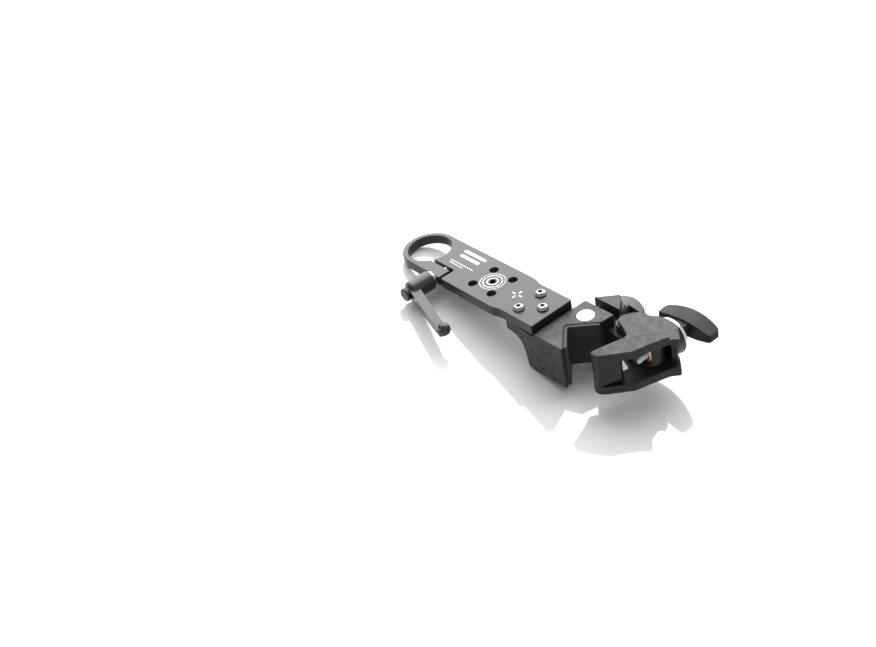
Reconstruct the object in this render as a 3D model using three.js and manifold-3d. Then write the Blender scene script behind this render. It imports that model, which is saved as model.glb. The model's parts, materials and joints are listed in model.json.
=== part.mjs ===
// Accessory plate with a split pole ring, bolted to a V-jaw screw clamp. Millimetres, +Z up.
// The pieces are drawn in the plate's own frame: X = 0 is the clamp end of the plate, the ring is at -X,
// the jaw hinge is on the +Y side and Z = 0 is the top face. The last lines set the whole group at rest.
import * as THREE from 'three';
import { mergeVertices } from 'three/addons/utils/BufferGeometryUtils.js';
import Module from 'manifold-3d';

const wasm = await Module();
wasm.setup();

// Plate and ring
const PLATE_THICKNESS = 9.5;
const PLATE_WIDTH = 52;
const PLATE_END_WIDTH = 47;
const PLATE_CORNER = 2;
const NARROW_TO = -37;
const WIDE_FROM = -51;
const RING_X = -167;
const RING_BORE = 21.1;
const EDGE_CHAMFER = 0.5;
const SLOT_NEAR = -12.4;
const SLOT_FAR = -9.8;
const SLOT_MOUTH_LEFT = -121.4;
const SLOT_MOUTH_RIGHT = -118.6;
const PATTERN_X = -76;
const PATTERN_PITCH = 12.7;
const PATTERN_HOLE = 4.1;
const CENTRE_HOLE = 2.7;

// Plate screws
const SCREWS = [[-27.3, -12.7], [-27.3, 12.7], [-10.9, 0]];
const SCREW_HEAD = 5.25;
const SCREW_HEAD_HEIGHT = 3.3;
const SCREW_SHANK = 3;
const SCREW_HOLE = 3.3;
const SCREW_TIP_Z = -17.2;
const HEX_ACROSS_CORNERS = 2.31;
const FIT_GAP = 0.3;

// Fixed jaw casting
const BODY_TOP = -6.5;
const BODY_BOTTOM = -47.6;
const MID_Z = -27;
const V_VERTEX = 12.9;
const LINER = 2.9;
const STUD_AT = [17.9, 21];
const STUD_RADIUS = 8;
const STUD_BORE = 8.3;
const STUD_SEAT_Z = -44;
const LOCK_X = 19;
const LOCK_SCREW = 3.9;
const LOCK_BORE = 4.2;
const HINGE = [47, 37];
const NUT = [74, 37];
const PIN_RADIUS = 4;
const RUNNING = 0.1;
const TONGUE_HALF = 9;

// Moving jaw
const JAW_PLATE = 8;
const ROD_RADIUS = 4;
const ROD_SWING = THREE.MathUtils.degToRad(20);
const TAIL_OUTER = 21.5;
const TAIL_INNER = 17;
const TAIL_TOP = -9;

// Handle and lever
const LEVER_AT = [-131, -4.75];
const LEVER_BALL = [-68, -65.2, -9.3];

// Rest position: turns about X then Y, and the lift that puts the lowest corner on Z = 0
const REST_ROLL = THREE.MathUtils.degToRad(6.1966);
const REST_PITCH = THREE.MathUtils.degToRad(-12.4051);
const REST_SHIFT = [41.0211, -12.9453, 50.99];

// ---------- shapes and solids ----------

function solidOf(geometry) {
  const bare = geometry.clone();
  bare.deleteAttribute('normal');
  bare.deleteAttribute('uv');
  const merged = mergeVertices(bare, 1e-4);
  return new wasm.Manifold(new wasm.Mesh({
    numProp: 3,
    vertProperties: merged.attributes.position.array,
    triVerts: new Uint32Array(merged.index.array),
  }));
}

function geometryOf(solid) {
  const data = solid.getMesh();
  const geometry = new THREE.BufferGeometry();
  geometry.setAttribute('position', new THREE.BufferAttribute(data.vertProperties, 3));
  geometry.setIndex(new THREE.BufferAttribute(data.triVerts, 1));
  geometry.computeVertexNormals();
  return geometry;
}

function join(...geometries) {
  return geometryOf(geometries.map(solidOf).reduce((all, one) => all.add(one)));
}

function cut(geometry, ...tools) {
  return geometryOf(tools.map(solidOf).reduce((left, tool) => left.subtract(tool), solidOf(geometry)));
}

function common(first, second) {
  return geometryOf(solidOf(first).intersect(solidOf(second)));
}

// A closed outline through corners [x, y, radius], each corner rounded by its radius.
function outline(corners, Kind = THREE.Shape) {
  const shape = new Kind();
  corners.forEach(([x, y, radius = 0], i) => {
    const here = new THREE.Vector2(x, y);
    const before = new THREE.Vector2(...corners.at(i - 1));
    const after = new THREE.Vector2(...corners[(i + 1) % corners.length]);
    const into = before.sub(here).setLength(radius).add(here);
    const out = after.sub(here).setLength(radius).add(here);
    if (i === 0) {
      shape.moveTo(into.x, into.y);
    } else {
      shape.lineTo(into.x, into.y);
    }
    if (radius > 0) {
      shape.quadraticCurveTo(x, y, out.x, out.y);
    }
  });
  shape.closePath();
  return shape;
}

function circle(x, y, radius) {
  const path = new THREE.Path();
  path.absarc(x, y, radius, 0, 2 * Math.PI, true);
  return path;
}

// A flat shape in X and Y raised from z0 to z1, with its edges bevelled.
function prism(shape, z0, z1, bevel = 0, curveSegments = 6) {
  const geometry = new THREE.ExtrudeGeometry(shape, {
    depth: z1 - z0 - 2 * bevel,
    bevelEnabled: bevel > 0,
    bevelThickness: bevel,
    bevelSize: bevel,
    bevelOffset: -bevel,
    bevelSegments: 1,
    curveSegments,
  });
  return geometry.translate(0, 0, z0 + bevel);
}

// A flat shape in X and Z carried along Y from y0 to y1.
function sidePrism(shape, y0, y1, bevel = 0, curveSegments = 6) {
  const geometry = prism(shape, -y1, -y0, bevel, curveSegments);
  return geometry.rotateX(Math.PI / 2);
}

function rodZ(radius, z0, z1, [x, y], segments = 32) {
  const geometry = new THREE.CylinderGeometry(radius, radius, z1 - z0, segments);
  return geometry.rotateX(Math.PI / 2).translate(x, y, (z0 + z1) / 2);
}

function rodY(radius, y0, y1, [x, z], segments = 32) {
  const geometry = new THREE.CylinderGeometry(radius, radius, y1 - y0, segments);
  return geometry.translate(x, (y0 + y1) / 2, z);
}

// A turned piece about an axis parallel to Y; the profile is [radius, y] pairs from one end to the other.
function turnedY(profile, [x, z], segments = 32) {
  const points = profile.map(([radius, y]) => new THREE.Vector2(radius, y));
  return new THREE.LatheGeometry(points, segments).translate(x, 0, z);
}

function turnedZ(profile, [x, y], segments = 32) {
  const points = profile.map(([radius, z]) => new THREE.Vector2(radius, z));
  return new THREE.LatheGeometry(points, segments).rotateX(Math.PI / 2).translate(x, y, 0);
}

// ---------- materials ----------

function finish(colour, roughness, metalness) {
  return new THREE.MeshStandardMaterial({ color: colour, roughness, metalness });
}

const anodised = finish(0x2b2b2d, 0.5, 0.6);
const castBlack = finish(0x232324, 0.75, 0.3);
const blackPlastic = finish(0x1b1b1c, 0.5, 0);
const greyPlastic = finish(0x6d6e70, 0.6, 0);
const polished = finish(0xd8dade, 0.15, 1);
const steel = finish(0x9a9ca0, 0.35, 1);
const brass = finish(0xc8a24a, 0.3, 1);

// ---------- plate ----------

// The plate's whole edge in one line: outside, slot mouth, slot, ring bore, slot and back outside.
function plateEdge() {
  const half = PLATE_WIDTH / 2;
  const end = PLATE_END_WIDTH / 2;
  const bend = (NARROW_TO - WIDE_FROM) / 2;
  const nearAngle = -Math.asin(-SLOT_NEAR / RING_BORE);
  const farAngle = -Math.asin(-SLOT_FAR / RING_BORE);
  const edge = new THREE.Shape();
  edge.moveTo(RING_X, -half);
  edge.lineTo(SLOT_MOUTH_LEFT, -half);
  edge.lineTo(SLOT_MOUTH_LEFT, SLOT_NEAR);
  edge.absarc(RING_X, 0, RING_BORE, nearAngle, farAngle, true);
  edge.lineTo(SLOT_MOUTH_RIGHT, SLOT_FAR);
  edge.lineTo(SLOT_MOUTH_RIGHT, -half);
  edge.lineTo(WIDE_FROM, -half);
  edge.bezierCurveTo(WIDE_FROM + bend, -half, NARROW_TO - bend, -end, NARROW_TO, -end);
  edge.lineTo(-PLATE_CORNER, -end);
  edge.quadraticCurveTo(0, -end, 0, PLATE_CORNER - end);
  edge.lineTo(0, end - PLATE_CORNER);
  edge.quadraticCurveTo(0, end, -PLATE_CORNER, end);
  edge.lineTo(NARROW_TO, end);
  edge.bezierCurveTo(NARROW_TO - bend, end, WIDE_FROM + bend, half, WIDE_FROM, half);
  edge.lineTo(RING_X, half);
  edge.absarc(RING_X, 0, half, Math.PI / 2, 3 * Math.PI / 2, false);
  return edge;
}

function plateHoles() {
  const signs = [-1, 1];
  const pattern = signs.flatMap((a) => signs.map((b) => (
    circle(PATTERN_X + a * PATTERN_PITCH, b * PATTERN_PITCH, PATTERN_HOLE))));
  const bolts = SCREWS.map(([x, y]) => circle(x, y, SCREW_HOLE));
  return [...pattern, ...bolts, circle(PATTERN_X, 0, CENTRE_HOLE)];
}

function accessoryPlate() {
  const edge = plateEdge();
  edge.holes.push(...plateHoles());
  const plate = prism(edge, -PLATE_THICKNESS, 0, EDGE_CHAMFER, 16);
  return cut(plate, rodY(3.3, -30, 9, LEVER_AT, 24));
}

// Button-head screw with a hexagon socket.
function plateScrew([x, y]) {
  const profile = [
    [0, SCREW_TIP_Z], [SCREW_SHANK - 0.5, SCREW_TIP_Z], [SCREW_SHANK, SCREW_TIP_Z + 0.5],
    [SCREW_SHANK, FIT_GAP], [SCREW_HEAD - 0.2, FIT_GAP], [SCREW_HEAD, 0.8], [SCREW_HEAD - 0.35, 1.7],
    [SCREW_HEAD - 1.1, 2.6], [SCREW_HEAD - 2, 3.1], [SCREW_HEAD - 2.7, SCREW_HEAD_HEIGHT],
    [0, SCREW_HEAD_HEIGHT],
  ];
  const screw = turnedZ(profile.map(([r, z]) => [r, -z]).reverse(), [0, 0], 28).rotateX(Math.PI);
  const socket = rodZ(HEX_ACROSS_CORNERS, 1.1, 4, [0, 0], 6);
  return cut(screw, socket).translate(x, y, 0);
}

// ---------- fixed jaw ----------

// The casting from above: lug under the plate, square body and the V.
function bodyPlan() {
  return outline([
    [-37, -22.5, 3], [2.5, -24.8, 3], [35.2, -24.6, 1], [35.4, V_VERTEX - 35.4], [V_VERTEX, 0, 4],
    [35.4, 35.4 - V_VERTEX], [36.4, 36, 1.5], [2.5, 36, 1.5], [2.5, 23.5], [-37, 22, 3],
  ]);
}

// The casting from the side, with the hollow sweep under the lug.
function bodySide() {
  const side = new THREE.Shape();
  side.moveTo(-38, -PLATE_THICKNESS - FIT_GAP);
  side.lineTo(2.5, -PLATE_THICKNESS - FIT_GAP);
  side.lineTo(2.5, BODY_TOP);
  side.lineTo(40, BODY_TOP);
  side.lineTo(40, BODY_BOTTOM);
  side.lineTo(-10.5, BODY_BOTTOM);
  side.splineThru([[-11, -43.2], [-11.8, -36], [-13.4, -29], [-17, -23], [-24, -19.2], [-38, -18.2]]
    .map(([x, z]) => new THREE.Vector2(x, z)));
  side.closePath();
  return side;
}

// The mid-height arm that runs from the body through the hinge to the barrel nut.
function tongue() {
  const arm = new THREE.Shape();
  arm.moveTo(26, 27);
  arm.lineTo(40, 27.5);
  arm.absarc(HINGE[0], HINGE[1], 11, 1.33 * Math.PI, 1.5 * Math.PI, false);
  arm.absarc(NUT[0], NUT[1], 10.5, -Math.PI / 2, 0.64 * Math.PI, false);
  arm.lineTo(61, 44.2);
  arm.absarc(HINGE[0], HINGE[1], 11, 0.34 * Math.PI, 0.75 * Math.PI, false);
  arm.lineTo(34, 46);
  arm.lineTo(26, 46);
  return prism(arm, MID_Z - TONGUE_HALF, MID_Z + TONGUE_HALF, 0.6, 10);
}

// The fan the rod sweeps on one side of the barrel nut, as a flat cutter.
function rodFan(reach, side, below, above = below) {
  const half = ROD_RADIUS + 0.9;
  const far = reach * Math.tan(ROD_SWING) + half;
  const fan = outline([
    [NUT[0] - half, NUT[1]], [NUT[0] - far, NUT[1] + side * reach],
    [NUT[0] + far, NUT[1] + side * reach], [NUT[0] + half, NUT[1]],
  ]);
  return prism(fan, MID_Z - below, MID_Z + above);
}

// Three-cornered guide block beside the body, with a round boss for the lock screw.
function lockBlock() {
  const top = outline([[5.4, 43.9], [34.5, 44.1], [21.3, 59.4], [19.7, 59.4]]);
  const bridge = outline([[7, 34], [32, 34], [32, 46], [7, 46]]);
  return join(
    prism(top, BODY_BOTTOM + 4, BODY_TOP - 0.5, 0.4),
    prism(bridge, BODY_BOTTOM + 4, MID_Z + 7.5),
    rodY(7.2, 50, 62, [LOCK_X, MID_Z], 28),
  );
}

function screwHolesInLug() {
  return SCREWS.map((at) => rodZ(SCREW_SHANK + 0.15, -17.6, -5, at, 28));
}

function fixedJaw() {
  const body = common(prism(bodyPlan(), BODY_BOTTOM, BODY_TOP, 0.6, 8), sidePrism(bodySide(), -30, 40));
  const raw = join(body, tongue(), lockBlock());
  return cut(
    raw,
    ...screwHolesInLug(),
    rodZ(STUD_BORE, STUD_SEAT_Z, 0, STUD_AT),
    rodZ(5.85, -50, STUD_SEAT_Z + 1, STUD_AT),
    rodY(LOCK_BORE, 24, 70, [LOCK_X, MID_Z], 24),
    rodZ(PIN_RADIUS + RUNNING, -50, 0, HINGE),
    rodZ(7 + RUNNING, -50, 0, NUT),
    rodFan(13, 1, 6.5),
    rodFan(13, -1, 6.5, TONGUE_HALF + 1),
  );
}

// Two-sided strip that lines the V.
function jawLiner() {
  const outer = V_VERTEX + 0.45;
  const inner = outer + LINER * Math.SQRT2;
  const end = 36.4;
  const side = LINER * Math.SQRT1_2;
  const strip = outline([
    [inner, 0, 2.5], [end, inner - end], [end - side, outer - end + side], [outer, 0, 4],
    [end - side, end - side - outer], [end, end - inner],
  ]);
  return prism(strip, BODY_BOTTOM + 1, BODY_TOP - 0.4, 0.3, 8);
}

// ---------- stud and its lock ----------

function mountingStud() {
  const profile = [
    [0, -58], [3.2, -58], [ROD_RADIUS, -57.2], [ROD_RADIUS, STUD_SEAT_Z + FIT_GAP],
    [STUD_RADIUS - 0.6, STUD_SEAT_Z + FIT_GAP], [STUD_RADIUS, STUD_SEAT_Z + 0.9],
    [STUD_RADIUS, MID_Z - 6], [STUD_RADIUS - 1.5, MID_Z - 4.5], [STUD_RADIUS - 1.5, MID_Z + 4.5],
    [STUD_RADIUS, MID_Z + 6], [STUD_RADIUS, BODY_TOP - 0.5], [STUD_RADIUS - 0.5, BODY_TOP], [0, BODY_TOP],
  ];
  return turnedZ(profile.map(([r, z]) => [r, -z]).reverse(), [0, 0], 36)
    .rotateX(Math.PI)
    .translate(STUD_AT[0], STUD_AT[1], 0);
}

function lockPad() {
  return turnedY([[0, 29.3], [3.2, 29.3], [3.9, 30], [3.9, 32.4], [0, 32.4]], [LOCK_X, MID_Z], 24);
}

function lockScrew() {
  const profile = [
    [0, 32.7], [3.1, 32.7], [LOCK_SCREW, 33.5], [LOCK_SCREW, 62.6], [3.2, 63], [3.2, 73], [0, 73],
  ];
  return turnedY(profile, [LOCK_X, MID_Z], 24);
}

// A wing with a straight inner edge and a crowned outer edge, seen from above, about X = 0.
function wingPlan(halfLength, inner, end, crown, corner) {
  const plan = new THREE.Shape();
  plan.moveTo(corner - halfLength, inner);
  plan.lineTo(halfLength - corner, inner);
  plan.quadraticCurveTo(halfLength, inner, halfLength, inner + corner);
  plan.lineTo(halfLength, end - corner);
  plan.quadraticCurveTo(halfLength, end, halfLength - 1.5 * corner, end + 0.35 * corner);
  plan.quadraticCurveTo(0, 2 * crown - end, 1.5 * corner - halfLength, end + 0.35 * corner);
  plan.quadraticCurveTo(-halfLength, end, -halfLength, end - corner);
  plan.lineTo(-halfLength, inner + corner);
  plan.quadraticCurveTo(-halfLength, inner, corner - halfLength, inner);
  return plan;
}

// The same wing from the side, thick at the middle and thin at its ends.
function wingSide(halfLength, middle, end) {
  const side = new THREE.Shape();
  side.moveTo(-halfLength, MID_Z - end);
  side.quadraticCurveTo(0, MID_Z + end - 2 * middle, halfLength, MID_Z - end);
  side.lineTo(halfLength, MID_Z + end);
  side.quadraticCurveTo(0, MID_Z - end + 2 * middle, -halfLength, MID_Z + end);
  side.closePath();
  return side;
}

function lockKnob() {
  const wing = common(
    prism(wingPlan(17, 66.5, 72.5, 76.6, 2), MID_Z - 8, MID_Z + 8, 0, 8),
    sidePrism(wingSide(17, 5.8, 3.4), 60, 80, 0, 12),
  ).translate(LOCK_X, 0, 0);
  const hub = turnedY([[0, 63.2], [5.6, 63.2], [6.2, 63.8], [6.2, 69], [0, 69]], [LOCK_X, MID_Z], 28);
  return cut(join(wing, hub), rodY(3.4, 60, 73.3, [LOCK_X, MID_Z], 24));
}

// ---------- moving jaw ----------

function jawPlan() {
  return outline([
    [55, -11.8, 1.5], [60.5, 9.5], [64.4, 21.8, 4.5], [55, 27, 2], [43, 32.3, 3], [41.2, 39, 3],
    [45.3, 46.8, 3], [50.5, 51.8, 2], [58.6, 55.4, 2], [64, 58.5, 2], [70, 60.3, 2], [77.6, 60.3, 2],
    [85.8, 57.6, 2], [92.6, 51.6, 2], [98, 46.5, 2], [92, 40.5, 4], [86, 22.5], [82, 9], [66, -10.5, 2],
    [61.5, -13.6, 3],
  ]);
}

// The solid nose between the two jaw plates.
function jawNose() {
  return outline([
    [55.3, -11.5, 1.5], [60.7, 9.5], [62.2, 14, 1], [64.8, 13.2, 1], [75.4, 1.2, 0.5], [66, -10.2, 2],
    [61.6, -13.3, 3],
  ]);
}

// The curved wall the thrust washer bears on.
function tailWall() {
  const from = THREE.MathUtils.degToRad(36);
  const to = THREE.MathUtils.degToRad(122);
  const wall = new THREE.Shape();
  wall.absarc(NUT[0], NUT[1], TAIL_OUTER, from, to, false);
  wall.absarc(NUT[0], NUT[1], TAIL_INNER, to, from, true);
  return prism(wall, BODY_BOTTOM + 4, BODY_TOP - 4, 0, 12);
}

// The tail is lower than the rest of the top face.
function tailStep() {
  const beyond = outline([[54, 54], [95.5, 39.6], [112, 60], [60, 72], [50, 60]]);
  return prism(beyond, TAIL_TOP, 0);
}

// Slanted recess on the outer side under the nose.
function noseRecess() {
  const slope = outline([[62.5, -39.6], [84, -39.6], [84, -27.5]]);
  const strip = outline([[58.3, -12], [80, 14.5], [90, 8], [66, -20]]);
  return common(sidePrism(slope, -20, 20), prism(strip, -50, -20));
}

function movingJaw() {
  const solid = join(
    prism(jawPlan(), BODY_TOP - JAW_PLATE, BODY_TOP, 0.8),
    prism(jawPlan(), BODY_BOTTOM, BODY_BOTTOM + JAW_PLATE, 0.8),
    prism(jawNose(), BODY_BOTTOM + 4, BODY_TOP - 4),
    tailWall(),
    rodZ(7.5, MID_Z + TONGUE_HALF + FIT_GAP, BODY_TOP - 4, HINGE, 28),
    rodZ(7.5, BODY_BOTTOM + 4, MID_Z - TONGUE_HALF - FIT_GAP, HINGE, 28),
  );
  return cut(
    solid,
    rodZ(PIN_RADIUS + RUNNING, -50, BODY_TOP - 3, HINGE),
    rodZ(6.8, -50, BODY_BOTTOM + 2, HINGE),
    rodFan(30, 1, ROD_RADIUS + 0.7),
    tailStep(),
    noseRecess(),
  );
}

function hingePin() {
  const z0 = BODY_BOTTOM + 0.3;
  const z1 = BODY_TOP - 3 - FIT_GAP;
  const profile = [
    [0, z0], [PIN_RADIUS - 0.5, z0], [PIN_RADIUS, z0 + 0.5], [PIN_RADIUS, z1 - 0.5], [PIN_RADIUS - 0.5, z1],
    [0, z1],
  ];
  return turnedZ(profile.map(([r, z]) => [r, -z]).reverse(), [0, 0]).rotateX(Math.PI)
    .translate(HINGE[0], HINGE[1], 0);
}

// Open retaining ring in the counterbore under the hinge.
function hingeClip() {
  const ring = new THREE.Shape();
  ring.absarc(0, 0, 6.3, 0.5, 2 * Math.PI - 0.5, false);
  ring.absarc(0, 0, PIN_RADIUS + FIT_GAP, 2 * Math.PI - 0.7, 0.7, true);
  return prism(ring, BODY_BOTTOM + 0.5, BODY_BOTTOM + 1.7, 0, 14).translate(HINGE[0], HINGE[1], 0);
}

// ---------- screw gear ----------

function barrelNut() {
  const barrel = rodZ(7, MID_Z - TONGUE_HALF - 1.5, MID_Z + TONGUE_HALF + 1.5, NUT, 36);
  return cut(barrel, rodY(ROD_RADIUS + 0.1, 20, 50, [NUT[0], MID_Z], 24));
}

// Screwed rod with ring-shaped crests along its working length.
function clampRod() {
  const pitch = 2.5;
  const root = ROD_RADIUS - 0.6;
  const profile = [[0, 19], [root - 0.6, 19], [root, 19.8]];
  for (let y = 20; y < 60; y += pitch) {
    profile.push([root, y], [ROD_RADIUS, y + 0.8], [ROD_RADIUS, y + 1.3], [root, y + 2.1]);
  }
  profile.push([root, 60.6], [ROD_RADIUS - 0.2, 61], [ROD_RADIUS - 0.2, 74.5], [0, 74.5]);
  return cut(turnedY(profile, [NUT[0], MID_Z], 16), rodZ(1.6, -40, -10, [NUT[0], 70.5], 16));
}

// Black pad, flat on one side and hollowed on the other to slide round the tail wall.
function saddlePad() {
  const disc = rodY(15.8, 45, 61, [NUT[0], MID_Z], 40);
  const band = prism(outline([[50, 40], [98, 40], [98, 64], [50, 64]]), MID_Z - 12, MID_Z + 12);
  return cut(
    common(disc, band),
    rodZ(TAIL_OUTER + FIT_GAP, -60, 0, NUT, 72),
    rodY(ROD_RADIUS + FIT_GAP, 40, 70, [NUT[0], MID_Z], 24),
  );
}

// Polished disc between the pad and the handle.
function thrustWasher() {
  const profile = [
    [ROD_RADIUS + RUNNING, 61.3], [16.2, 61.3], [16.6, 61.7], [16.6, 63.7], [16.2, 64.1],
    [ROD_RADIUS + RUNNING, 64.1], [ROD_RADIUS + RUNNING, 61.3],
  ];
  return turnedY(profile, [NUT[0], MID_Z], 44);
}

function tHandle() {
  const bar = common(
    prism(wingPlan(28.2, 76.5, 88.8, 92.4, 2.5), MID_Z - 10, MID_Z + 10, 0, 8),
    sidePrism(wingSide(28.2, 8, 3.4), 70, 100, 0, 14),
  ).translate(NUT[0], 0, 0);
  const hub = prism(outline([[66.8, 64.4, 2.5], [81.2, 64.4, 2.5], [80.8, 79], [67.2, 79]]),
    MID_Z - 6.2, MID_Z + 6.2, 1.6);
  return cut(
    join(bar, hub),
    rodY(ROD_RADIUS, 60, 74.8, [NUT[0], MID_Z], 24),
    rodZ(1.6, MID_Z - 5.4, MID_Z + 9, [NUT[0], 70.5], 16),
  );
}

// ---------- lever ----------

// Toothed steel insert with its threaded shank, turned about the lever axis.
function leverInsert() {
  const teeth = 16;
  const star = new THREE.Shape();
  for (let i = 0; i < 2 * teeth; i += 1) {
    const radius = i % 2 === 0 ? 6.9 : 6.1;
    const angle = (i * Math.PI) / teeth;
    const x = LEVER_AT[0] + radius * Math.cos(angle);
    const z = LEVER_AT[1] + radius * Math.sin(angle);
    if (i === 0) {
      star.moveTo(x, z);
    } else {
      star.lineTo(x, z);
    }
  }
  star.closePath();
  const shank = turnedY([
    [0, -30], [6.5, -30], [6.5, -28.9], [7.4, -28.9], [7.4, -26.8], [7, -26.3], [3, -26.3], [3, 7.4],
    [2.4, 8], [0, 8],
  ], LEVER_AT, 28);
  return cut(join(sidePrism(star, -34, -29.5), shank), rodY(2.1, -36, -28.5, LEVER_AT, 16));
}

function leverScrew() {
  const profile = [
    [0, -46.8], [4.3, -46.8], [4.7, -46.3], [4.7, -44.2], [1.9, -44.2], [1.9, -29], [0, -29],
  ];
  return turnedY(profile, LEVER_AT, 20);
}

// Coil around the retaining screw, drawn at its working length.
function leverSpring() {
  class Helix extends THREE.Curve {
    getPoint(t) {
      const angle = 2 * Math.PI * 3 * t;
      return new THREE.Vector3(3.3 * Math.cos(angle), -39.8 - 3.7 * t, 3.3 * Math.sin(angle));
    }
  }
  const wire = new THREE.Shape();
  wire.absarc(0, 0, 0.45, 0, 2 * Math.PI, false);
  const coil = new THREE.ExtrudeGeometry(wire, {
    steps: 36, bevelEnabled: false, curveSegments: 3, extrudePath: new Helix(),
  });
  return coil.translate(LEVER_AT[0], 0, LEVER_AT[1]);
}

// Flat bar from the hub to the end knob, narrowing in plan and in height.
function leverArm() {
  const plan = outline([
    [-131, -53.8], [-66, -71.6, 3], [-63, -63.4, 3], [-73, -61.6], [-131, -44],
  ]);
  const side = outline([[-132, -12.9], [-60, -13.6, 2], [-60, -6.4, 2], [-132, -0.2]]);
  return common(prism(plan, -20, 5), sidePrism(side, -80, -40));
}

function leverHandle() {
  const hub = turnedY([
    [0, -52.5], [7.4, -52.5], [8.7, -51.6], [9.3, -49.6], [9.3, -30], [8.8, -29.2], [0, -29.2],
  ], LEVER_AT, 36);
  const knob = new THREE.SphereGeometry(6.4, 20, 14).scale(1, 0.95, 0.96).translate(...LEVER_BALL);
  return cut(
    join(hub, leverArm(), knob),
    rodY(7.2, -34.3, -29, LEVER_AT, 28),
    rodY(2.4, -40, -30, LEVER_AT, 16),
    rodY(5, -60, -36, LEVER_AT, 24),
    rodY(6.5, -62, -54.3, LEVER_AT, 28),
  );
}

// Push-in button that closes the hub.
function leverCap() {
  const profile = [
    [0, -59.5], [5.4, -59.5], [6.2, -58.8], [6.2, -55.2], [5.7, -54.6], [4.6, -54.6], [4.6, -48.5],
    [0, -48.5],
  ];
  return turnedY(profile, LEVER_AT, 28);
}

// ---------- assembly ----------

const group = new THREE.Group();

function add(name, geometry, material) {
  const mesh = new THREE.Mesh(geometry, material);
  mesh.name = name;
  group.add(mesh);
}

add('accessory_plate', accessoryPlate(), anodised);
SCREWS.forEach((at, i) => add(`plate_screw_${i + 1}`, plateScrew(at), polished));
add('fixed_jaw', fixedJaw(), castBlack);
add('jaw_liner', jawLiner(), greyPlastic);
add('mounting_stud', mountingStud(), polished);
add('lock_pad', lockPad(), brass);
add('lock_screw', lockScrew(), steel);
add('lock_knob', lockKnob(), blackPlastic);
add('moving_jaw', movingJaw(), castBlack);
add('hinge_pin', hingePin(), steel);
add('hinge_clip', hingeClip(), steel);
add('barrel_nut', barrelNut(), brass);
add('clamp_rod', clampRod(), steel);
add('saddle_pad', saddlePad(), blackPlastic);
add('thrust_washer', thrustWasher(), polished);
add('t_handle', tHandle(), blackPlastic);
add('handle_pin', rodZ(1.4, MID_Z - 5.2, MID_Z + 6.3, [NUT[0], 70.5], 16), steel);
add('lever_insert', leverInsert(), steel);
add('lever_screw', leverScrew(), steel);
add('lever_spring', leverSpring(), steel);
add('lever_handle', leverHandle(), blackPlastic);
add('lever_cap', leverCap(), blackPlastic);

group.rotation.set(REST_ROLL, REST_PITCH, 0);
group.position.set(...REST_SHIFT);

export default group;
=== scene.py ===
"""Looks for the film grip holder: an accessory plate with a split pole ring, bolted to a V-jaw screw clamp.

Lengths in the piece builders are millimetres in the plate's own frame: X = 0 is the clamp end of the plate,
the ring is at -X, the jaw hinge is on the +Y side and Z = 0 is the top face. PLATE carries them to the row
frame, where every mesh is stored.
"""
import json
import math

import bmesh
import bpy
from mathutils import Euler, Matrix, Vector


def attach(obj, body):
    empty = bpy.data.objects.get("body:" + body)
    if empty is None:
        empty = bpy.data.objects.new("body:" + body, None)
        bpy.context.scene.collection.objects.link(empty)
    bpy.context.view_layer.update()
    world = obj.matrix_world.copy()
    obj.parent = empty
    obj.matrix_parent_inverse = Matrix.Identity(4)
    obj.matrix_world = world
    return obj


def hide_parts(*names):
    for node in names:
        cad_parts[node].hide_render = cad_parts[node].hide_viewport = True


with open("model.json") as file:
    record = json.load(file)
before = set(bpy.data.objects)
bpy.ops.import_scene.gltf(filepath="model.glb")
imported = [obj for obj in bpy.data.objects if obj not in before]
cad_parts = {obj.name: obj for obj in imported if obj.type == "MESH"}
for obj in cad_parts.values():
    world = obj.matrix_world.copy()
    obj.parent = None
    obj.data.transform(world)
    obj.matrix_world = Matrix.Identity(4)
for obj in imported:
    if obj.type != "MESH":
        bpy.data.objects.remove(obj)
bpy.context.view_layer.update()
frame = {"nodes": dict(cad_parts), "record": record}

MM = 0.001

# Places and sizes in the plate's frame, millimetres: the hinge as x, y, z, and the screws, which run along Y,
# as x, z
HINGE_AT = (47, 37, -27)
ROD_AT = (74, -27)
LOCK_AT = (19, -27)
THREAD_PITCH = 1.25
PRINT_LOW, PRINT_HIGH = 0.004, 0.05
TARGET_X, CROSS_X = -76, -43.5

# How the CAD solids are cleaned and shaded: weld distance in metres, seam and crease angles in degrees
WELD = 0.000004
SEAM_DEG = 0.6
CREASE_DEG = 34
THREAD_CREASE_DEG = 50

# The photograph's view: eye in metres, turn in degrees, lens and sensor in millimetres
CAMERA_EYE = (0.49511, -0.54658, 0.66138)
CAMERA_TURN = (47.7843, -2.2608, 50.1908)
CAMERA_LENS, CAMERA_SENSOR = 45.46, 36

# How far the floor lies below the frame's Z = 0, metres
FLOOR_GAP = 0.0002


# ---------- frames ----------

def plate_matrix(record):
    """The plate's frame in the row frame, read from the record's mounts and joints."""
    mounts = {m["name"]: m for m in record["mounts"]}
    joints = {j["name"]: j for j in record["behaviour"]["joints"]}
    up = Vector(mounts["plate_top"]["axis"]).normalized()
    across = Vector(joints["handle_spin"]["axis"])
    across = (across - up * across.dot(up)).normalized()
    along = across.cross(up)
    turn = Matrix((along, across, up)).transposed()
    hinge = Vector(joints["jaw_swing"]["pos_m"])
    origin = hinge - turn @ Vector([length * MM for length in HINGE_AT])
    return Matrix.Translation(origin) @ turn.to_4x4()


PLATE = plate_matrix(frame["record"])


# ---------- materials ----------

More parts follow.
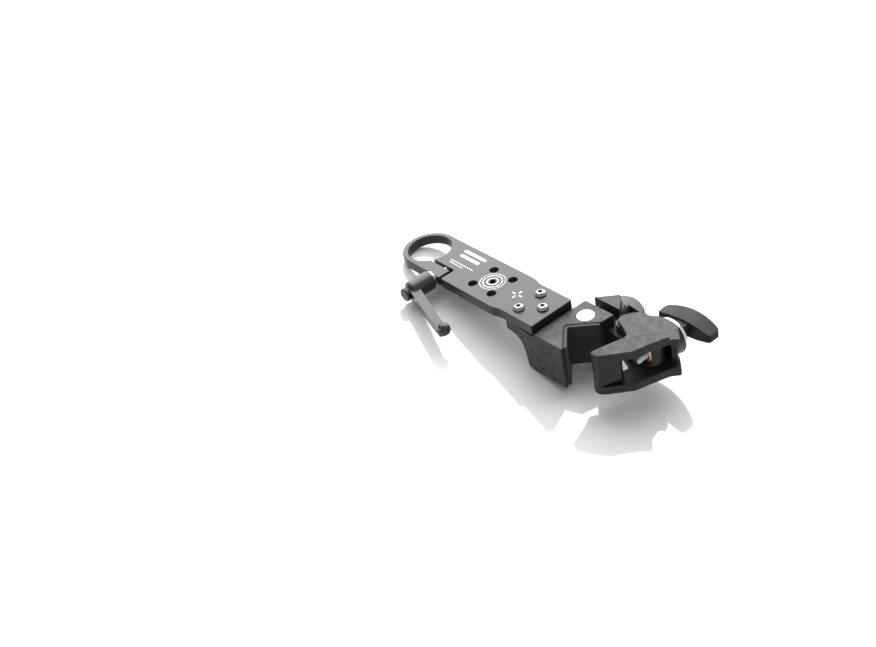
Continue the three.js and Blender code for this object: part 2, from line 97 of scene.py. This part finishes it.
class Nodes:
    """A short way to write a node tree."""

    def __init__(self, name):
        self.material = bpy.data.materials.new(name)
        self.material.use_nodes = True
        self.tree = self.material.node_tree
        self.shader = self.tree.nodes["Principled BSDF"]
        coords = self.tree.nodes.new("ShaderNodeTexCoord")
        to_plate = self.add("Mapping")
        to_plate.inputs["Rotation"].default_value = PLATE.inverted().to_euler()
        to_plate.inputs["Location"].default_value = PLATE.inverted().to_translation()
        self.link(coords.outputs["Object"], to_plate.inputs["Vector"])
        self.where = to_plate.outputs["Vector"]

    def add(self, kind, **settings):
        node = self.tree.nodes.new("ShaderNode" + kind)
        for key, value in settings.items():
            setattr(node, key, value)
        return node

    def link(self, source, target):
        self.tree.links.new(source, target)

    def noise(self, scale, detail=3.0, rough=0.55, stretch=None):
        node = self.add("TexNoise")
        node.inputs["Scale"].default_value = scale
        node.inputs["Detail"].default_value = detail
        node.inputs["Roughness"].default_value = rough
        where = self.where
        if stretch:
            mapping = self.add("Mapping")
            mapping.inputs["Scale"].default_value = stretch
            self.link(where, mapping.inputs["Vector"])
            where = mapping.outputs["Vector"]
        self.link(where, node.inputs["Vector"])
        return node.outputs["Fac"]

    def cells(self, scale):
        node = self.add("TexVoronoi", feature="SMOOTH_F1")
        node.inputs["Scale"].default_value = scale
        self.link(self.where, node.inputs["Vector"])
        return node.outputs["Distance"]

    def spread(self, source, low, high, start=0.3, stop=0.7):
        node = self.add("MapRange")
        node.inputs["From Min"].default_value = start
        node.inputs["From Max"].default_value = stop
        node.inputs["To Min"].default_value = low
        node.inputs["To Max"].default_value = high
        self.link(source, node.inputs["Value"])
        return node.outputs["Result"]

    def ramp(self, source, dark, light, start=0.3, stop=0.7):
        node = self.add("ValToRGB")
        first, last = node.color_ramp.elements
        first.position, last.position = start, stop
        first.color, last.color = (*dark, 1), (*light, 1)
        self.link(source, node.inputs["Fac"])
        return node.outputs["Color"]

    def edges(self, radius):
        """Mask for the painted edge highlight: 1 on rounded-off edges and 0 on flat faces, broken up by
        noise.
        """
        bevel = self.add("Bevel", samples=4)
        bevel.inputs["Radius"].default_value = radius
        true = self.add("NewGeometry")
        dot = self.add("VectorMath", operation="DOT_PRODUCT")
        self.link(bevel.outputs["Normal"], dot.inputs[0])
        self.link(true.outputs["Normal"], dot.inputs[1])
        mask = self.spread(dot.outputs["Value"], 1.0, 0.0, 0.93, 0.995)
        broken = self.spread(self.noise(900, 4.0), 0.35, 1.0, 0.35, 0.6)
        both = self.add("Math", operation="MULTIPLY", use_clamp=True)
        self.link(mask, both.inputs[0])
        self.link(broken, both.inputs[1])
        return both.outputs["Value"]

    def mix(self, factor, first, second):
        node = self.add("Mix", data_type="RGBA")
        self.link(factor, node.inputs["Factor"])
        self.link(first, node.inputs["A"])
        self.link(second, node.inputs["B"])
        return node.outputs["Result"]

    def bump(self, source, depth, strength, under=None):
        node = self.add("Bump")
        node.inputs["Strength"].default_value = strength
        node.inputs["Distance"].default_value = depth
        self.link(source, node.inputs["Height"])
        if under:
            self.link(under, node.inputs["Normal"])
        return node.outputs["Normal"]

    def finish(self, colour, roughness, normal, metallic=0.0, specular=0.5):
        self.link(colour, self.shader.inputs["Base Color"])
        self.link(roughness, self.shader.inputs["Roughness"])
        self.link(normal, self.shader.inputs["Normal"])
        self.shader.inputs["Metallic"].default_value = metallic
        self.shader.inputs["Specular IOR Level"].default_value = specular
        return self.material


def grey(value, tint=1.02):
    """A near-neutral colour; tint scales its blue."""
    return (value, value, value * tint)


def anodised_finish():
    """Bead-blasted black anodising with a painted highlight along the edges."""
    n = Nodes("anodised_black")
    body = n.ramp(n.noise(45, 4.0), grey(0.009), grey(0.014))
    # Lighter grey on the rounded-off edges is a painted highlight for light caught by the chamfers.
    painted_edge_highlight = n.ramp(n.noise(300), grey(0.05), grey(0.1))
    colour = n.mix(n.edges(0.0006), body, painted_edge_highlight)
    rough = n.spread(n.noise(160, 4.0), 0.27, 0.35)
    blast = n.bump(n.noise(2600, 2.0), 0.00003, 0.3)
    return n.finish(colour, rough, blast, specular=0.45)


def cast_finish(name, dark, light, rough_low, rough_high, depth, specular):
    """Powder-coated casting: an orange-peel skin with fine grit, and a painted highlight along the edges."""
    n = Nodes(name)
    body = n.ramp(n.noise(70, 5.0), grey(dark), grey(light))
    # Lighter grey on the rounded-off edges is a painted highlight for light caught by the chamfers.
    painted_edge_highlight = n.ramp(n.noise(400), grey(0.03), grey(0.05))
    colour = n.mix(n.edges(0.0007), body, painted_edge_highlight)
    rough = n.spread(n.noise(220, 4.0), rough_low, rough_high)
    peel = n.bump(n.cells(1150), depth, 0.5)
    grit = n.bump(n.noise(3200, 3.0, 0.7), depth * 0.6, 0.5, under=peel)
    return n.finish(colour, rough, grit, specular=specular)


def plastic_finish(name, dark, light, rough_low, rough_high, specular, depth=0.00003):
    """Moulded plastic with a spark-eroded grain and a painted highlight on its edges and corners."""
    n = Nodes(name)
    body = n.ramp(n.noise(60, 4.0), grey(dark, 1.03), grey(light, 1.03))
    # The lighter colour on edges and corners is a painted highlight for light caught by the rounded edges.
    painted_corner_highlight = n.ramp(n.noise(500), grey(light * 1.6), grey(light * 2.4))
    colour = n.mix(n.edges(0.0006), body, painted_corner_highlight)
    rough = n.spread(n.noise(130, 4.0), rough_low, rough_high)
    grain = n.bump(n.cells(1900), depth, 0.45)
    return n.finish(colour, rough, grain, specular=specular)


def metal_finish(name, dark, light, rough_low, rough_high, stretch):
    """Turned metal: fine tool lines, slight tarnish and small scratches."""
    n = Nodes(name)
    colour = n.ramp(n.noise(220, 5.0), dark, light)
    rough = n.spread(n.noise(900, 4.0, stretch=stretch), rough_low, rough_high)
    lines = n.bump(n.noise(2400, 2.0, stretch=stretch), 0.000008, 0.5)
    return n.finish(colour, rough, lines, metallic=1.0, specular=0.5)


def ink_finish():
    """White screen print, a little thin in places."""
    n = Nodes("white_print")
    colour = n.ramp(n.noise(900, 5.0), grey(0.62), grey(0.86), 0.25, 0.5)
    rough = n.spread(n.noise(700, 3.0), 0.45, 0.65)
    return n.finish(colour, rough, n.bump(n.noise(2500, 3.0), 0.00001, 0.4), specular=0.4)


def floor_finish():
    """Pale glossy acrylic sheet."""
    n = Nodes("studio_floor")
    colour = n.ramp(n.noise(3, 2.0), grey(0.6, 1.0), grey(0.62, 1.0))
    rough = n.spread(n.noise(6, 3.0), 0.03, 0.05)
    n.shader.inputs["IOR"].default_value = 1.9
    return n.finish(colour, rough, n.bump(n.noise(20, 2.0), 0.00002, 0.1), specular=0.5)


ANODISED = anodised_finish()
CAST = cast_finish("cast_black", 0.007, 0.011, 0.32, 0.6, 0.00025, 0.4)
LEVER_COAT = cast_finish("lever_coat", 0.008, 0.012, 0.26, 0.36, 0.00003, 0.6)
PLASTIC = plastic_finish("black_plastic", 0.007, 0.011, 0.32, 0.42, 0.5)
GRIP = plastic_finish("grip_plastic", 0.006, 0.01, 0.48, 0.58, 0.22)
LINER = plastic_finish("liner_grey", 0.016, 0.026, 0.5, 0.62, 0.3, 0.00006)
AROUND_Y = (0.05, 1.0, 0.05)
AROUND_Z = (0.05, 0.05, 1.0)
POLISHED = metal_finish("polished_metal", grey(0.8, 1.01), grey(0.9, 1.01), 0.06, 0.16, AROUND_Z)
PLATED = metal_finish("plated_screws", grey(0.22, 1.01), grey(0.36, 1.01), 0.1, 0.22, AROUND_Z)
WASHER = metal_finish("turned_washer", grey(0.78, 1.01), grey(0.9, 1.01), 0.12, 0.24, AROUND_Y)
STEEL = metal_finish("turned_steel", grey(0.42, 1.03), grey(0.6, 1.03), 0.25, 0.42, AROUND_Y)
DARK_STEEL = metal_finish("blackened_steel", grey(0.1, 1.03), grey(0.17, 1.03), 0.3, 0.45, AROUND_Y)
BRASS = metal_finish("brass", (0.66, 0.42, 0.15), (0.83, 0.6, 0.26), 0.18, 0.32, AROUND_Z)
INK = ink_finish()


# ---------- pieces ----------

def piece(name, mesh, body, material, replaces=()):
    """A new object whose mesh is in the row frame, in metres."""
    made = bpy.data.objects.new(name, mesh)
    bpy.context.scene.collection.objects.link(made)
    mesh.materials.clear()
    mesh.materials.append(material)
    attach(made, body)
    if replaces:
        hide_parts(*replaces)
    return made


def row_mesh(bm, name, sharp_deg=None):
    """A mesh in the row frame from plate-frame geometry, smooth below the sharp angle if one is given."""
    bmesh.ops.recalc_face_normals(bm, faces=bm.faces)
    bm.transform(PLATE)
    mesh = bpy.data.meshes.new(name)
    bm.to_mesh(mesh)
    bm.free()
    if sharp_deg:
        smooth(mesh, sharp_deg)
    return mesh


def smooth(mesh, sharp_deg):
    """Smooth shading with creases where faces meet at more than sharp_deg."""
    mesh.polygons.foreach_set("use_smooth", [True] * len(mesh.polygons))
    mesh.set_sharp_from_angle(angle=math.radians(sharp_deg))


def round_edges(made, width, segments):
    """Rounds the creased edges to a width in millimetres."""
    bevel = made.modifiers.new("rounding", "BEVEL")
    bevel.width = width * MM
    bevel.segments = segments
    bevel.limit_method = "ANGLE"
    bevel.angle_limit = math.radians(CREASE_DEG)
    bevel.miter_outer = "MITER_ARC"
    bevel.use_clamp_overlap = True
    bevel.harden_normals = False
    even = made.modifiers.new("even_normals", "WEIGHTED_NORMAL")
    even.keep_sharp = True


def dressed(node, name, body, material, slot, width, segments=2):
    """A CAD node's solid, welded, freed of facet seams, and given rounded edges."""
    source = frame["nodes"][node].data
    mesh = bpy.data.meshes.new(name)
    bm = bmesh.new()
    bm.from_mesh(source)
    bmesh.ops.remove_doubles(bm, verts=bm.verts, dist=WELD)
    bmesh.ops.dissolve_limit(bm, angle_limit=math.radians(SEAM_DEG), verts=bm.verts, edges=bm.edges)
    bmesh.ops.recalc_face_normals(bm, faces=bm.faces)
    bm.to_mesh(mesh)
    bm.free()
    if "custom_normal" in mesh.attributes:
        mesh.attributes.remove(mesh.attributes["custom_normal"])
    smooth(mesh, CREASE_DEG)
    made = piece(name, mesh, body, material, [node])
    if width:
        round_edges(made, width, segments)


# CAD node, new piece, body, material, record slot, edge width in millimetres, and its segments if not 2
DRESSED = [
    ("accessory_plate", "plate_body", "plate", ANODISED, "anodised_aluminium", 0.12),
    ("plate_screw_1", "button_screw_1", "plate", PLATED, "polished_metal", 0.1),
    ("plate_screw_2", "button_screw_2", "plate", PLATED, "polished_metal", 0.1),
    ("plate_screw_3", "button_screw_3", "plate", PLATED, "polished_metal", 0.1),
    ("fixed_jaw", "clamp_casting", "plate", CAST, "cast_black", 0.3),
    ("jaw_liner", "v_liner", "plate", LINER, "grey_plastic", 0.2),
    ("mounting_stud", "stud_disc", "stud", POLISHED, "polished_metal", 0.15),
    ("lock_pad", "lock_tip", "lock_pad", BRASS, "brass", 0.15),
    ("lock_knob", "lock_wing", "lock", PLASTIC, "black_plastic", 0.5, 3),
    ("moving_jaw", "jaw_casting", "jaw", CAST, "cast_black", 0.3),
    ("hinge_pin", "hinge_axle", "jaw", DARK_STEEL, "steel", 0.15),
    ("hinge_clip", "hinge_ring", "jaw", DARK_STEEL, "steel", 0),
    ("barrel_nut", "nut_barrel", "barrel", BRASS, "brass", 0.2),
    ("saddle_pad", "bearing_pad", "pad", PLASTIC, "black_plastic", 0.3),
    ("thrust_washer", "bearing_disc", "pad", WASHER, "polished_metal", 0.15),
    ("t_handle", "t_bar", "handle", GRIP, "black_plastic", 0.6, 3),
    ("handle_pin", "cross_pin", "handle", STEEL, "steel", 0.1),
    ("lever_insert", "lever_core", "lever_stud", STEEL, "steel", 0),
    ("lever_screw", "lever_bolt", "lever_stud", STEEL, "steel", 0.15),
    ("lever_spring", "lever_coil", "lever_stud", STEEL, "steel", 0),
    ("lever_handle", "lever_grip", "lever", LEVER_COAT, "lever_coat", 0.5, 3),
    ("lever_cap", "lever_button", "lever", PLASTIC, "black_plastic", 0.25),
]
for row in DRESSED:
    dressed(*row)


def threaded(name, body, node, centre, root, crest, start, stop, plain):
    """A screw along Y with a real helix from start to stop, then a smooth shank as far as plain."""
    around, per_turn = 28, 9
    lead_in, undercut, runout, shank = 1, 0.8, 0.4, crest - 0.2
    flank, root_flat = 2.6, 0.15
    bm = bmesh.new()
    count = int((stop - start) / THREAD_PITCH * per_turn) + 1
    rings = []

    def ring(y, radius_at):
        verts = []
        for k in range(around):
            angle = 2 * math.pi * k / around
            radius = radius_at(angle)
            verts.append(bm.verts.new(Vector((
                centre[0] + radius * math.cos(angle), y, centre[1] + radius * math.sin(angle))) * MM))
        rings.append(verts)

    ring(start - lead_in, lambda angle: root - undercut)
    for i in range(count):
        y = start + i * (stop - start) / (count - 1)
        fade = min(1.0, (y - start) / THREAD_PITCH, (stop - y) / THREAD_PITCH)

        def thread(angle, y=y, fade=fade):
            phase = ((y - start) / THREAD_PITCH + angle / (2 * math.pi)) % 1.0
            height = max(0.0, min(1.0, flank * (0.5 - abs(phase - 0.5)) - root_flat))
            return root + (crest - root) * height * fade
        ring(y, thread)
    ring(stop + runout, lambda angle: shank)
    ring(plain, lambda angle: shank)
    for lower, upper in zip(rings, rings[1:]):
        for k in range(around):
            j = (k + 1) % around
            bm.faces.new((lower[k], lower[j], upper[j], upper[k]))
    bm.faces.new(rings[0])
    bm.faces.new(list(reversed(rings[-1])))
    piece(name, row_mesh(bm, name, THREAD_CREASE_DEG), body, STEEL, [node])


threaded("rod_thread", "handle", "clamp_rod", ROD_AT, 3.4, 3.95, 20, 60, 74.4)
threaded("lock_thread", "lock", "lock_screw", LOCK_AT, 3.2, 3.85, 34, 62, 72.9)


# ---------- generic white print on the plate ----------

def bar(bm, x, y, length, width, turn_deg=0):
    """A flat strip with cut corners, standing on the plate's top face."""
    corner = min(length, width) * 0.25
    plan = [
        (-length / 2 + corner, -width / 2), (length / 2 - corner, -width / 2),
        (length / 2, -width / 2 + corner), (length / 2, width / 2 - corner),
        (length / 2 - corner, width / 2), (-length / 2 + corner, width / 2),
        (-length / 2, width / 2 - corner), (-length / 2, -width / 2 + corner),
    ]
    c, s = math.cos(math.radians(turn_deg)), math.sin(math.radians(turn_deg))
    low, high = [], []
    for px, py in plan:
        at = (x + px * c - py * s, y + px * s + py * c)
        low.append(bm.verts.new((at[0] * MM, at[1] * MM, PRINT_LOW * MM)))
        high.append(bm.verts.new((at[0] * MM, at[1] * MM, PRINT_HIGH * MM)))
    bm.faces.new(list(reversed(low)))
    bm.faces.new(high)
    for k in range(len(plan)):
        j = (k + 1) % len(plan)
        bm.faces.new((low[k], low[j], high[j], high[k]))


def hoop(bm, x, y, inner, outer):
    """A flat ring standing on the plate's top face."""
    count = 56
    loops = [[], [], [], []]
    radii = (inner, outer, outer, inner)
    heights = (PRINT_LOW, PRINT_LOW, PRINT_HIGH, PRINT_HIGH)
    for k in range(count):
        angle = 2 * math.pi * k / count
        for loop, radius, z in zip(loops, radii, heights):
            loop.append(bm.verts.new((
                (x + radius * math.cos(angle)) * MM, (y + radius * math.sin(angle)) * MM, z * MM)))
    for k in range(count):
        j = (k + 1) % count
        for a, b in ((0, 1), (1, 2), (2, 3), (3, 0)):
            bm.faces.new((loops[a][k], loops[a][j], loops[b][j], loops[b][k]))


def plate_print():
    """Generic marks: two bars, two rules, a ring target and a small cross."""
    bm = bmesh.new()
    for y, length in ((17.2, 30), (10.2, 26)):
        bar(bm, -120, y, length, 3.6)
    bar(bm, -119.5, 0, 31, 0.7)
    bar(bm, -124, -3, 18, 0.7)
    for inner, outer in ((4.6, 5.4), (8.4, 9.2), (11.4, 11.9)):
        hoop(bm, TARGET_X, 0, inner, outer)
    for k in range(4):
        angle = math.radians(90 * k)
        bar(bm, CROSS_X + 4 * math.cos(angle), 4 * math.sin(angle), 3.6, 1.4, 90 * k)
    piece("plate_print", row_mesh(bm, "plate_print"), "plate", INK)


plate_print()


# ---------- floor, lights and camera ----------

def floor():
    """A wide glossy sheet just under the object."""
    bm = bmesh.new()
    bmesh.ops.create_grid(bm, x_segments=6, y_segments=6, size=6)
    mesh = bpy.data.meshes.new("floor")
    bm.to_mesh(mesh)
    bm.free()
    made = bpy.data.objects.new("floor", mesh)
    made.location = (0, 0, -FLOOR_GAP)
    bpy.context.scene.collection.objects.link(made)
    mesh.materials.append(floor_finish())


def softbox(name, at, toward, size, power):
    """A rectangular area light at one point, facing another."""
    data = bpy.data.lights.new(name, "AREA")
    data.shape = "RECTANGLE"
    data.size, data.size_y = size
    data.energy = power
    lamp = bpy.data.objects.new(name, data)
    lamp.location = at
    lamp.rotation_euler = (Vector(toward) - Vector(at)).to_track_quat("-Z", "Y").to_euler()
    bpy.context.scene.collection.objects.link(lamp)


def studio():
    """An even grey surround, one big softbox behind the object and a weak one in front."""
    world = bpy.data.worlds.new("studio")
    bpy.context.scene.world = world
    world.use_nodes = True
    sky = world.node_tree.nodes["Background"]
    sky.inputs["Color"].default_value = (1, 1, 1, 1)
    sky.inputs["Strength"].default_value = 0.65
    softbox("back_softbox", (-1.5, 1.15, 1.6), (0, 0, 0.03), (4.4, 3.6), 224)
    softbox("key_softbox", (-0.6, -0.9, 1.5), (0, 0, 0.03), (0.7, 0.7), 3)


def camera():
    """The view from in front, to the right and above."""
    data = bpy.data.cameras.new("camera")
    data.lens = CAMERA_LENS
    data.sensor_width = CAMERA_SENSOR
    made = bpy.data.objects.new("camera", data)
    turn = Euler([math.radians(angle) for angle in CAMERA_TURN]).to_matrix().to_4x4()
    made.matrix_world = Matrix.Translation(CAMERA_EYE) @ turn
    data.clip_start, data.clip_end = 0.01, 50
    bpy.context.scene.collection.objects.link(made)
    bpy.context.scene.camera = made


floor()
studio()
camera()
bpy.context.scene.view_settings.view_transform = "Standard"
